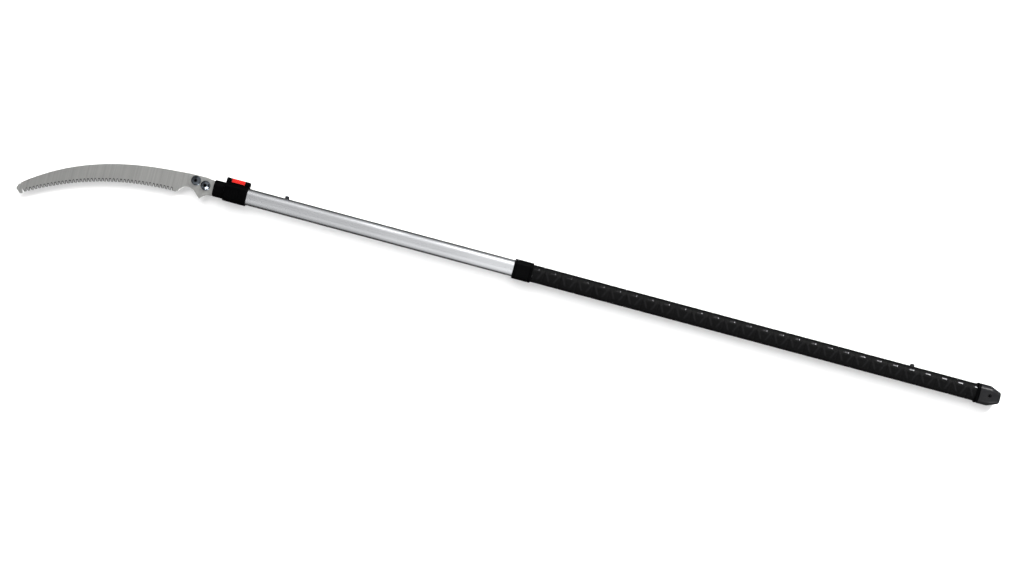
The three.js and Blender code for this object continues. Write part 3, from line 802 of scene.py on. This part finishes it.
def lock_housing():
    """The moulded lock: an oval body round the tube, and a block above it that holds the lever."""
    body_width = 47.6
    body = rounded(HOUSING.x0, HOUSING.x1, body_width, HOUSING.depth, BODY_FLAT, 1.6, 1.6)
    shape = blank(skin([section(*row) for row in body]))
    corner = 2
    outline = [(HOUSING.x0, 10), (HOUSING.x1, 10),
               *arc(HOUSING.x1 - corner, BLOCK.top - corner, corner, corner, 0, 90, 6),
               *arc(HOUSING.x0 + corner, BLOCK.top - corner, corner, corner, 90, 180, 6)]
    join(shape, prism(outline, -BLOCK.half_depth, BLOCK.half_depth))
    above = BLOCK.top + 2
    recess = [(BLOCK.post_rear, BLOCK.floor), (BLOCK.recess_rear, BLOCK.floor), (BLOCK.recess_rear, above),
              (PIN.x, above), *arc(PIN.x, PIN.y, CHEEK_RADIUS, CHEEK_RADIUS, 90, 0, 10)]
    wall_rear = HOUSING.x0 + 2.5
    channel_floor = PIN.y - CAM_RADIUS - CLEARANCE
    shoe = extent("clamp_shoe")
    shoe_half = shoe.depth / 2 + CLEARANCE
    cut(shape,
        prism(recess, -BLOCK.half_depth - 1, BLOCK.half_depth + 1),
        box(HOUSING.x0 - 1, BLOCK.post_rear + 1, channel_floor, above,
            -CHANNEL_HALF_DEPTH, CHANNEL_HALF_DEPTH),
        box(shoe.x0 - CLEARANCE, shoe.x1 + CLEARANCE, 12, 26, -shoe_half, shoe_half),
        oval_bar(wall_rear, HOUSING.x1 + 1, OUTER.width + 0.5, OUTER.depth + 0.5),
        oval_bar(HOUSING.x0 - 1, wall_rear + 1, INNER.width + 1, INNER.depth + 1),
        placed(rod(2.2, -20, 20), x=PIN.x, y=PIN.y),
        *[placed(rod(3.8, 22, 26), x=x, turn=AGAINST_Y) for x in HOUSING_SCREWS_X],
        *[placed(rod(2, 15, 26), x=x, turn=AGAINST_Y) for x in HOUSING_SCREWS_X],
        *housing_flutes())
    round_edges(shape, 0.5, steps=3)
    add_piece("lock_housing_moulded", shape, "black_plastic", "outer_section", "lock_housing")


def housing_flutes():
    """Shallow grooves across both flats of the housing, for the hand that steadies it."""
    first, pitch, radius, lift = 14, 7.2, 1.3, 0.75
    return [placed(rod(radius, -16, 8, 24), x=HOUSING.x0 + first + k * pitch,
                   z=side * (HOUSING.depth / 2 + lift), turn=ALONG_Y)
            for k in range(5) for side in (-1, 1)]


def lock_lever():
    """The red lever: a nose with a cam between the cheeks, and a ribbed head that fills the window."""
    cam_low = CAM_RADIUS - 0.8
    turn = 95
    steps = 20
    cam = []
    for i in range(steps + 1):
        radius = CAM_RADIUS - (CAM_RADIUS - cam_low) * i / steps
        a = math.radians(-90 - turn * i / steps)
        cam.append((PIN.x + radius * math.cos(a), PIN.y + radius * math.sin(a)))
    neck = PIN.x + 6.4
    nose = [*cam, *arc(PIN.x, PIN.y, cam_low, cam_low, 160, 30, 10),
            (neck, PIN.y + 2), (neck, LEVER.y0 + 0.5), (PIN.x + 2, LEVER.y0 + 0.2)]
    radius = 1.6
    head_front = PIN.x + CHEEK_RADIUS + 0.4
    head_bottom = 24.7
    head = [(head_front, head_bottom), (LEVER.x1, head_bottom),
            *arc(LEVER.x1 - radius, LEVER.y1 - radius, radius, radius, 0, 90, 6), (head_front, LEVER.y1)]
    half = LEVER.depth / 2
    shape = round_edges(blank(prism(head, -half, half)), 0.45, angle=50)
    join(shape, prism(nose, -CHANNEL_HALF_DEPTH + CLEARANCE, CHANNEL_HALF_DEPTH - CLEARANCE))
    cut(shape, placed(rod(2.15, -20, 20), x=PIN.x, y=PIN.y), *lever_grooves(head_front, half))
    add_piece("lock_lever_ribbed", shape, "lever_red", "lever", "lock_lever")


def lever_grooves(head_front, half):
    """Lengthwise grooves on both side faces, and finger grooves across the top near the free end."""
    x0, x1 = head_front + 3, LEVER.x1 - 3
    grooves = [box(x0, x1, y - 0.35, y + 0.35, side * half - 0.3, side * half + 0.3)
               for y in (28, 31) for side in (-1, 1)]
    grooves += [box(x, x + 1.1, LEVER.y1 - 0.5, LEVER.y1 + 1, -half + 2.5, half - 2.5)
                for x in [LEVER.x1 - 4 - 2.6 * k for k in range(6)]]
    return grooves


def lock_details():
    radius, half, ease = 2, 11.9, 0.3
    pin = [(radius - ease, PIN.z - half), (radius, PIN.z - half + ease),
           (radius, PIN.z + half - ease), (radius - ease, PIN.z + half)]
    add_piece("lever_pin_turned", placed(lathe(pin, 32), x=PIN.x, y=PIN.y),
              "black_oxide", "outer_section", "lever_pin")
    for end, x in zip(("front", "rear"), HOUSING_SCREWS_X):
        add_screw(f"housing_screw_{end}_cross", f"housing_screw_{end}", "black_oxide",
                  (x, -22.2, 0), AGAINST_Y, (3.4, 1.6, 1.75, 2.8))


# ---------------------------------------------------------------- saw head

TOOTH_COUNT = 42
TOOTH_HEIGHT = 6.4
HALF_BLADE = BLADE.depth / 2
# One tooth as (share of the pitch, share of the height, width of the bevel).
TOOTH = ((0, 0, 2.2), (0.1, 0, 2.2), (0.24, 0.8, 1.7), (0.42, 1, 0.5), (0.94, 1, 0.8))
BOLT_HOLE = 4.3
LAST_TIP_X = -864
TOOTHED = (-1218, -862)  # where the teeth begin and end along the pole


def holes(radius, centres):
    return [placed(rod(radius, -20, 20), x=centre.x, y=centre.y) for centre in centres]


def blade_outline():
    """The blade's edge as (point, width of a tooth's bevel or None), once round."""
    tips = bezier((-1216, -129), (-1090, -58), (-987, -35), (LAST_TIP_X, -32))
    edge = [(p, None) for p in [(-1228, -110.8), (-1232.3, -111), (-1236.4, -124.6), (-1224, -134),
                                (-1217.5, -132.5)]]
    for tooth in range(TOOTH_COUNT):
        for share, height, bevel in TOOTH:
            tip, heading = tips((tooth + share) / TOOTH_COUNT)
            inward = Vector((-heading.y, heading.x)) * TOOTH_HEIGHT * (1 - height)
            edge.append((tuple(tip + inward), bevel))
    edge += [(p, None) for p in [
        (-860.5, -32.5), *arc(-834, -44, 24, 30, 150, 96, 10), (-800, -13),
        *arc(-792, -2.5, 10.5, 10.5, -90, 0, 10), *arc(-792, 9.5, 10.5, 10.5, 0, 90, 10),
        *along(bezier((-834.8, 19.8), (-920, 11.8), (-1081, 9.6), (-1227.5, -107)), 60)]]
    return edge


def on_toothed_side(at):
    """Whether a point is on the lower side of the blade, as far as the teeth run."""
    middle = -20 - 0.0006 * (at.x - LAST_TIP_X) ** 2
    return TOOTHED[0] < at.x < TOOTHED[1] and at.y < middle


def blade():
    """The curved blade: its teeth are bevelled on both faces, and the other edges are eased; the teeth's side
    walls and bevels are painted near-black, painted shade in the gullets.
    """
    edge = blade_outline()
    count = len(edge)
    rings = [[], [], [], []]
    for i, ((x, y), bevel) in enumerate(edge):
        before, after = Vector(edge[i - 1][0]), Vector(edge[(i + 1) % count][0])
        here = Vector((x, y))
        a, b = (here - before).normalized(), (after - here).normalized()
        inward = Vector((-(a + b).y, (a + b).x)).normalized()
        near_teeth = y < 0 and x < TOOTHED[1]
        if bevel is not None:
            inset, half_edge = bevel, 0.12
        else:
            inset, half_edge = (0.4, 0.2) if near_teeth else (0.8, 0.3)
        steps = ((inset, HALF_BLADE), (0, half_edge), (0, -half_edge), (inset, -HALF_BLADE))
        for ring, (back, z) in zip(rings, steps):
            ring.append((*(here + inward * back), z))
    shape = blank(skin(rings))
    cut(shape, *holes(BOLT_HOLE, BOLTS.values()))
    piece = add_piece("blade_ground", shape, "blade_steel", "inner_section", "blade", sharp=12)
    # The teeth's side walls and bevels on the toothed side take the near-black gullet material: painted
    # shade.
    paint(piece, "gullet_painted_shade", lambda corners, face: (
        abs(face.normal.z) < 0.95 and on_toothed_side(sum(corners, Vector()) / len(corners))))


def bracket_plates():
    """Two stampings, one each side of the blade: a round nose, a claw and a tang."""
    shoulder = FERRULE.x0 - 0.5
    rear, half = extent("bracket_plate_near").x1, 14
    outline = [(rear, -half), (rear, half), (shoulder, half), (shoulder, 17.5), (-792, 19.4),
               *arc(-819, 1.5, 18, 18, 90, 265, 36), *arc(-801.5, -32, 1.8, 1.8, 225, 350, 6),
               *arc(-781, -33.5, 14.2, 13, 143, 92, 14), (shoulder, -20), (shoulder, -half)]
    for side in ("near", "far"):
        node = f"bracket_plate_{side}"
        part = extent(node)
        shape = blank(prism(outline, part.z0, part.z1))
        cut(shape, *holes(BOLT_HOLE, BOLTS.values()), *holes(2.65, RIVETS))
        round_edges(shape, 0.4, steps=3)
        add_piece(f"{node}_stamped", shape, "bracket_steel", "inner_section", node)


def head_ferrule():
    rows = rounded(FERRULE.x0, FERRULE.x1, FERRULE.width, FERRULE.depth, TUBE_FLAT, 1.8, 0.6)
    rows = groove(rows, FERRULE.x0 + 6, 0.45, 0.8, FERRULE.width, FERRULE.depth, TUBE_FLAT)
    shape = blank(skin([section(*row) for row in rows]))
    wall_rear = FERRULE.x0 + FERRULE_WALL
    slot_half = 14 + CLEARANCE
    cut(shape, oval_bar(wall_rear, FERRULE.x1 + 1, INNER.width + 0.6, INNER.depth + 0.6),
        box(FERRULE.x0 - 1, wall_rear + 1, -slot_half, slot_half, -3.8, 3.8))
    round_edges(shape, 0.3, steps=2, angle=50)
    add_piece("head_ferrule_moulded", shape, "black_plastic", "inner_section", "head_ferrule")


def hexagon_rings(profile, turn=0.0):
    """Rings of a hexagon from (corner radius, z) or (corner radius, z, largest radius)."""
    sides = 96  # as many as a circle's
    rings = []
    for corner, z, *limit in profile:
        ring = []
        for i in range(sides):
            a = 2 * math.pi * i / sides
            from_flat = (a - turn) % (math.pi / 3) - math.pi / 6
            radius = min(corner * math.cos(math.pi / 6) / math.cos(from_flat), *limit, corner)
            ring.append((radius * math.cos(a), radius * math.sin(a), z))
        rings.append(ring)
    return rings


def blade_bolt(end, turn):
    """A plated bolt: a flange, a hexagon with six sloping facets, and a socket whose inside is painted
    near-black as painted shade, with its shaft below.
    """
    node = f"blade_bolt_{end}"
    part = extent(node)
    head_height = 9.3
    seat = part.z1 - head_height
    tip = part.z0 - seat
    shaft_and_flange = [(3.4, tip), (4, tip + 0.6), (4, -0.4), (4, 0), (11.6, 0), (11.9, 0.3), (11.9, 0.8),
                        (11.6, 1.2), (10.95, 1.7)]
    hexagon = [(10.8, 1.8, 10.6), (10.8, 5.2, 10.6), (10.3, 5.8, 10.2), (5.9, 9, 5.8), (5.5, head_height)]
    rings = [circle(radius, z) for radius, z in shaft_and_flange] + hexagon_rings(hexagon, turn=turn)
    rings.append(circle(4.3, head_height))
    bolt = BOLTS[end]
    shape = blank(placed(skin(rings), x=bolt.x, y=bolt.y, z=seat))
    socket_radius, socket_floor = 3.9, 4.5
    socket = skin(hexagon_rings([(socket_radius, z) for z in (socket_floor, head_height + 1)], turn=turn))
    cut(shape, placed(socket, x=bolt.x, y=bolt.y, z=seat))
    piece = add_piece(f"{node}_plated", shape, "fastener_chrome", "inner_section", node, sharp=24)

    def in_socket(corners, face):
        at = sum(corners, Vector()) / len(corners)
        from_axis = math.hypot(at.x - bolt.x, at.y - bolt.y)
        return from_axis < socket_radius - 0.15 and seat + socket_floor - 0.5 < at.z < part.z1 - 0.02

    # The socket's inside is painted near-black: painted shade in the recess.
    paint(piece, "black_oxide", in_socket)


def washer(name):
    part = extent(name)
    ease, inner, outer, top = 0.25, BOLT_HOLE, part.width / 2, part.depth
    profile = [(inner, ease), (inner + ease, 0), (outer - ease, 0), (outer, ease), (outer, top - ease),
               (outer - ease, top), (inner + ease, top), (inner, top - ease)]
    shape = placed(lathe(profile, 64, around=True), x=part.centre.x, y=part.centre.y, z=part.z0)
    add_piece(f"{name}_turned", shape, "fastener_chrome", "inner_section", name)


def blade_nut(end):
    node = f"blade_nut_{end}"
    part = extent(node)
    height, corner = part.depth, 8.7
    profile = [(corner, 0, 8), (corner, 0.25, 8.35), (corner, 0.8), (corner, height - 0.8),
               (corner, height - 0.25, 8.35), (corner, height, 8)]
    bore = [circle(BOLT_HOLE, z) for z in (height, 0)]
    nut = skin(hexagon_rings(profile) + bore, around=True)
    shape = placed(nut, x=BOLTS[end].x, y=BOLTS[end].y, z=part.z0)
    add_piece(f"{node}_plated", shape, "fastener_chrome", "inner_section", node)


def fasteners():
    for end, turn in (("front", 0.2), ("rear", 0.75)):
        blade_bolt(end, turn)
        washer(f"bolt_washer_{end}")
        washer(f"nut_washer_{end}")
        blade_nut(end)


# ---------------------------------------------------------------- carried-over CAD nodes

KEPT_NODES = {
    "front_bush": "bush_plastic",
    "inner_tail_bush": "bush_plastic",
    "clamp_shoe": "bush_plastic",
    "front_button_spring": "hidden_steel",
    "rear_button_spring": "hidden_steel",
    "head_plug": "tube_aluminium",
    "head_rivet_upper": "tube_aluminium",
    "head_rivet_lower": "tube_aluminium",
    "tang_spacer": "bracket_steel",
}


def finish_kept_nodes():
    for node, material in KEPT_NODES.items():
        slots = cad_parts[node].data.materials
        slots.clear()
        slots.append(MATERIALS[material])


# ---------------------------------------------------------------- studio


def floor():
    half = 30
    mesh = bpy.data.meshes.new("studio_floor")
    corners = [(-half, -half, 0), (half, -half, 0), (half, half, 0), (-half, half, 0)]
    mesh.from_pydata(corners, [], [(0, 1, 2, 3)])
    plane = bpy.data.objects.new("studio_floor", mesh)
    plane.location.z = -0.0002  # a hair under the saw, so that no faces coincide
    scene.collection.objects.link(plane)
    paper = Shader("studio_paper", (0.86, 0.86, 0.86), 0.9)
    paper.tint(paper.noise(3, 2), 0.99, 1.01)
    mesh.materials.append(paper.material)
    plane.visible_glossy = False  # polished pieces mirror the painted surroundings instead


def direction(azimuth, elevation):
    a, e = math.radians(azimuth), math.radians(elevation)
    return Vector((math.cos(a) * math.cos(e), math.sin(a) * math.cos(e), math.sin(e)))


UP_IN_VIEW = 105  # azimuth of the top of the camera's picture

# What polished pieces mirror, round the pole from straight below (-90) past +y (0) and straight up (90)
# to -y (180) and below again: (angle, brightness).
AROUND_POLE = (
    (-90, 0.04), (-45, 0.06), (-15, 0.22), (20, 0.8), (40, 0.98), (55, 1.08), (68, 1.08), (80, 0.92),
    (90, 0.84), (100, 0.88), (113, 1.12), (122, 1.1), (143, 0.96), (171, 0.74), (200, 0.14), (235, 0.03),
    (270, 0.04),
)
# The surroundings' brightness along the pole, by the x of the direction looked in: (x, brightness).
ALONG_POLE = (
    (-1, 0.8), (-0.6, 0.7), (-0.38, 0.36), (-0.24, 0.28), (-0.14, 0.44), (0, 1.0), (0.1, 1.6), (0.22, 2.2),
    (0.34, 2.0), (0.6, 1.1), (1, 0.9),
)
WINDOWS = (  # (azimuth, elevation, full within, gone beyond, brightness), angles in degrees
    (66, 34, 4, 12, 90),
    (228, 18, 8, 22, 2),
    (313, 18, 5, 13, 22),
)
AMBIENT = 0.8  # brightness of the even light
BACKDROP = 1.0  # brightness of what the camera sees past the floor


def studio_world():
    """Soft panels painted on the surroundings for reflections, over an even light for everything else."""
    world = bpy.data.worlds.new("studio")
    world.use_nodes = True
    scene.world = world
    tree = world.node_tree
    tree.nodes.clear()

    def add(kind, inputs=None, **settings):
        return add_node(tree, kind, inputs, **settings)

    def math_node(operation, *values):
        return add("ShaderNodeMath", dict(enumerate(values)), operation=operation).outputs[0]

    looking = add("ShaderNodeTexCoord").outputs["Generated"]
    axes = add("ShaderNodeSeparateXYZ", {0: looking}).outputs
    turned = math_node("ARCTAN2", axes["Z"], axes["Y"])  # -pi to pi, 0 at +y
    wrapped = math_node("FRACT", math_node("ADD", math_node("DIVIDE", turned, 2 * math.pi), 1.25))

    def ramp(position, stops):
        """Brightness by position from 0 to 1; a ramp's colours end at 1, so the result is scaled up."""
        brightest = max(brightness for _, brightness in stops)
        made = add("ShaderNodeValToRGB", {"Fac": position})
        elements = made.color_ramp.elements
        while len(elements) > 1:
            elements.remove(elements[-1])
        for k, (place, brightness) in enumerate(stops):
            element = elements[0] if k == 0 else elements.new(place)
            element.position = place
            element.color = (*[brightness / brightest] * 3, 1)
        return math_node("MULTIPLY", made.outputs["Color"], brightest)

    around = ramp(wrapped, [((angle + 90) / 360, brightness) for angle, brightness in AROUND_POLE])
    lengthwise = ramp(math_node("MULTIPLY_ADD", axes["X"], 0.5, 0.5),
                      [((x + 1) / 2, brightness) for x, brightness in ALONG_POLE])
    total = math_node("MULTIPLY", around, lengthwise)
    for azimuth, elevation, inside, outside, brightness in WINDOWS:
        facing = add("ShaderNodeVectorMath", {0: looking, 1: direction(azimuth, elevation)},
                     operation="DOT_PRODUCT").outputs["Value"]
        window = add("ShaderNodeMapRange", {
            "Value": facing, "From Min": math.cos(math.radians(outside)),
            "From Max": math.cos(math.radians(inside)), "To Min": 0.0, "To Max": brightness,
        }, interpolation_type="SMOOTHSTEP").outputs["Result"]
        total = math_node("ADD", total, window)
    white = (1, 1, 1, 1)
    mirrored = add("ShaderNodeBackground", {"Color": white, "Strength": total}).outputs[0]
    even = add("ShaderNodeBackground", {"Color": white, "Strength": AMBIENT}).outputs[0]
    plain = add("ShaderNodeBackground", {"Color": white, "Strength": BACKDROP}).outputs[0]
    ray = add("ShaderNodeLightPath").outputs
    lighting = add("ShaderNodeMixShader", {0: ray["Is Diffuse Ray"], 1: mirrored, 2: even}).outputs[0]
    surface = add("ShaderNodeMixShader", {0: ray["Is Camera Ray"], 1: lighting, 2: plain}).outputs[0]
    add("ShaderNodeOutputWorld", {"Surface": surface})


def key_light():
    """A broad soft key from the top left of the picture, so that the shadow falls below and to the right."""
    sun = bpy.data.lights.new("key", "SUN")
    sun.energy = 1.45
    sun.angle = math.radians(36)
    lamp = bpy.data.objects.new("key", sun)
    lamp.visible_glossy = False
    lamp.rotation_euler = direction(UP_IN_VIEW + 22, 53).to_track_quat("Z", "Y").to_euler()
    scene.collection.objects.link(lamp)


CAMERA_DISTANCE = 5.0  # metres above the pole's axis
PICTURE_WIDTH = 2.478  # metres that the picture spans at the pole's axis
PICTURE_CENTRE = (-0.014, -0.0471)
FINE_TURN = 0.02  # degrees past UP_IN_VIEW that match the photo's pole best


def camera():
    """Straight above the saw, turned so that the pole runs down to the right."""
    data = bpy.data.cameras.new("camera")
    data.sensor_width = 36
    data.lens = CAMERA_DISTANCE * data.sensor_width / PICTURE_WIDTH
    made = bpy.data.objects.new("camera", data)
    made.location = (*PICTURE_CENTRE, AXIS_HEIGHT * MM + CAMERA_DISTANCE)
    made.rotation_euler = (0, 0, math.radians(UP_IN_VIEW - 90 + FINE_TURN))
    scene.collection.objects.link(made)
    scene.camera = made


def studio():
    floor()
    studio_world()
    key_light()
    camera()
    scene.view_settings.view_transform = "Standard"


# ---------------------------------------------------------------- assembly

studio()
drawn_tube("outer_tube", OUTER, OUTER_WALL, "outer_section", RING.x0 - 2)
drawn_tube("inner_tube", INNER, INNER_WALL, "inner_section")
for button_end, button_x in zip(("front", "rear"), BUTTONS_X):
    snap_button(button_end, button_x)
grip_front_ring()
grip_sleeve()
end_cap()
cap_screws()
lock_housing()
lock_lever()
lock_details()
blade()
bracket_plates()
head_ferrule()
fasteners()
finish_kept_nodes()
